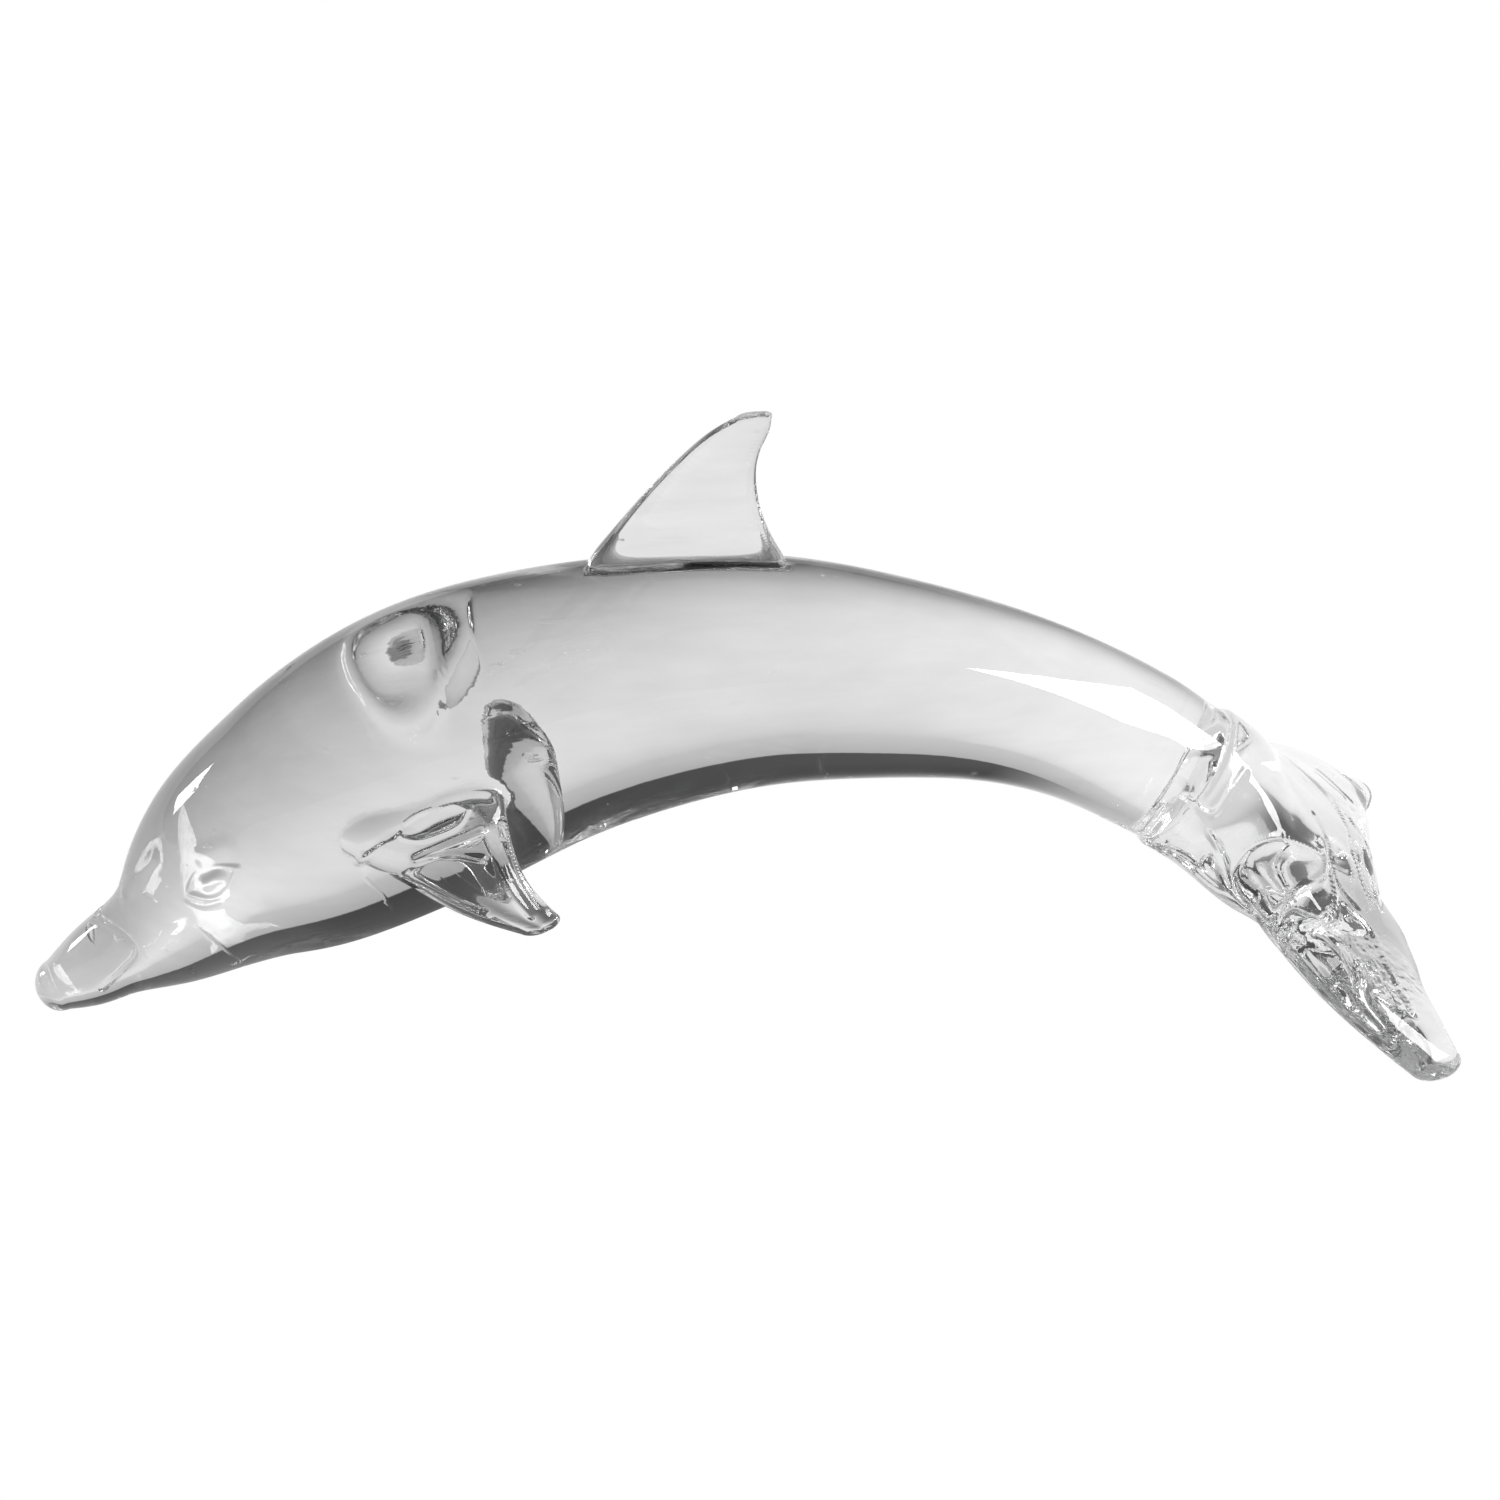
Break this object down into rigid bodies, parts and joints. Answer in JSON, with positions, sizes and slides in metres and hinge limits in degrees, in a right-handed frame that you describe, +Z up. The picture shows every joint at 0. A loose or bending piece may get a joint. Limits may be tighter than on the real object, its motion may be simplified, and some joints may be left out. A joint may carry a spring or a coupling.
{
  "type": "dolphin figurine",
  "caption": "Solid clear glass figurine of a leaping dolphin that stands as an arch on its beak and flukes.",
  "frame": {"origin": "on the floor, under the middle of the overall box", "axes": "+X from the beak to the flukes, +Y to the dolphin's far side, +Z up"},
  "size_m": [0.326, 0.1314, 0.1412],
  "materials": {
    "clear_glass": "fire polished"
  },
  "bodies": {
    "root": {"glass_dolphin": "clear_glass"}
  },
  "joints": []
}
